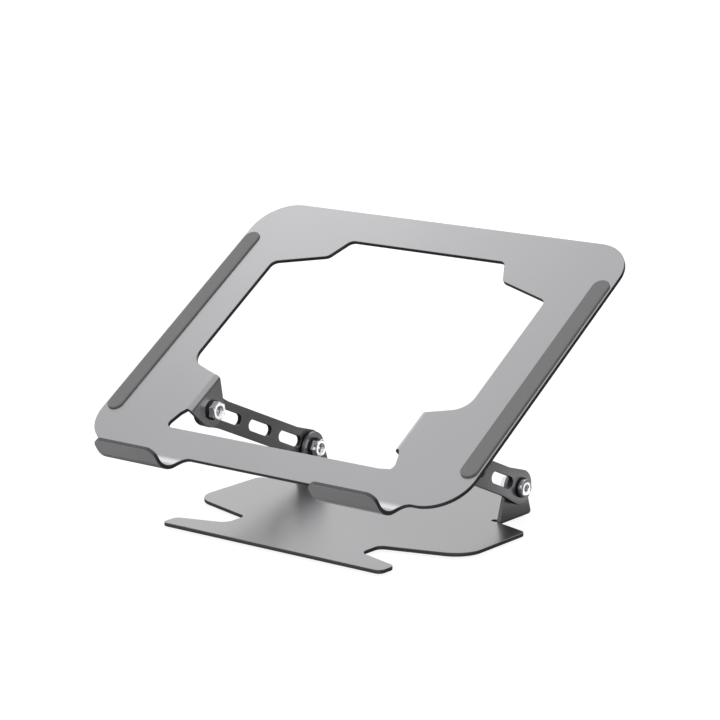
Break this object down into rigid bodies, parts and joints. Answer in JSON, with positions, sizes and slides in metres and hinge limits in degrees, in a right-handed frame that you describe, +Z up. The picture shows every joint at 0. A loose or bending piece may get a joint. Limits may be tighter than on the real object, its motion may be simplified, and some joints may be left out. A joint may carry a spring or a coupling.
{
  "type": "folding laptop stand",
  "caption": "Folding laptop stand: tilted tray with window, front hooks and pads, carried on a flat base by slotted arms with friction pivots.",
  "frame": {"origin": "bottom centre of the open stand, on the desk", "axes": "+X to the right along the tray's width, +Y to the rear, +Z up"},
  "size_m": [0.27, 0.212, 0.1637],
  "materials": {
    "tray_sheet": "satin silver, bead blasted and clear anodised",
    "base_sheet": "satin silver, bead blasted and clear anodised",
    "arm_sheet": "satin silver, bead blasted and clear anodised",
    "tray_pads": "matte grey silicone",
    "feet": "matte grey silicone",
    "bolts": "polished nickel plate",
    "nuts": "polished nickel plate",
    "washers": "matte black friction washer"
  },
  "bodies": {
    "base": {"base_plate": "base_sheet", "left_front_foot": "feet", "left_rear_foot": "feet", "right_front_foot": "feet", "right_rear_foot": "feet", "left_lower_bolt": "bolts", "left_lower_head_washer": "washers", "left_lower_friction_washer": "washers", "left_lower_nut_washer": "washers", "left_lower_nut": "nuts", "right_lower_bolt": "bolts", "right_lower_head_washer": "washers", "right_lower_friction_washer": "washers", "right_lower_nut_washer": "washers", "right_lower_nut": "nuts"},
    "left_arm": {"left_arm": "arm_sheet"},
    "right_arm": {"right_arm": "arm_sheet"},
    "upper_pivots": {"left_upper_bolt": "bolts", "left_upper_head_washer": "washers", "left_upper_friction_washer": "washers", "left_upper_nut_washer": "washers", "left_upper_nut": "nuts", "right_upper_bolt": "bolts", "right_upper_head_washer": "washers", "right_upper_friction_washer": "washers", "right_upper_nut_washer": "washers", "right_upper_nut": "nuts"},
    "tray": {"tray_plate": "tray_sheet", "left_pad": "tray_pads", "right_pad": "tray_pads"}
  },
  "joints": [
    {"name": "left_arm_swing", "type": "hinge", "parent": "base", "child": "left_arm", "pos_m": [-0.0788, 0.06375, 0.0217], "axis": [-1, 0, 0], "range_deg": [-29.4, 60]},
    {"name": "right_arm_swing", "type": "hinge", "parent": "base", "child": "right_arm", "pos_m": [0.0788, 0.06375, 0.0217], "axis": [-1, 0, 0], "range_deg": [-29.4, 60]},
    {"name": "upper_pivot_turn", "type": "hinge", "parent": "left_arm", "child": "upper_pivots", "pos_m": [-0.0788, -0.03148, 0.0635], "axis": [1, 0, 0], "range_deg": [-51.3, 104.4]},
    {"name": "tray_tilt", "type": "hinge", "parent": "upper_pivots", "child": "tray", "pos_m": [0, -0.03148, 0.0635], "axis": [1, 0, 0], "range_deg": [-11, 11]}
  ],
  "couplings": [
    {"joint": "right_arm_swing", "follows": "left_arm_swing", "ratio": 1},
    {"joint": "upper_pivot_turn", "follows": "left_arm_swing", "ratio": 1.7347}
  ]
}
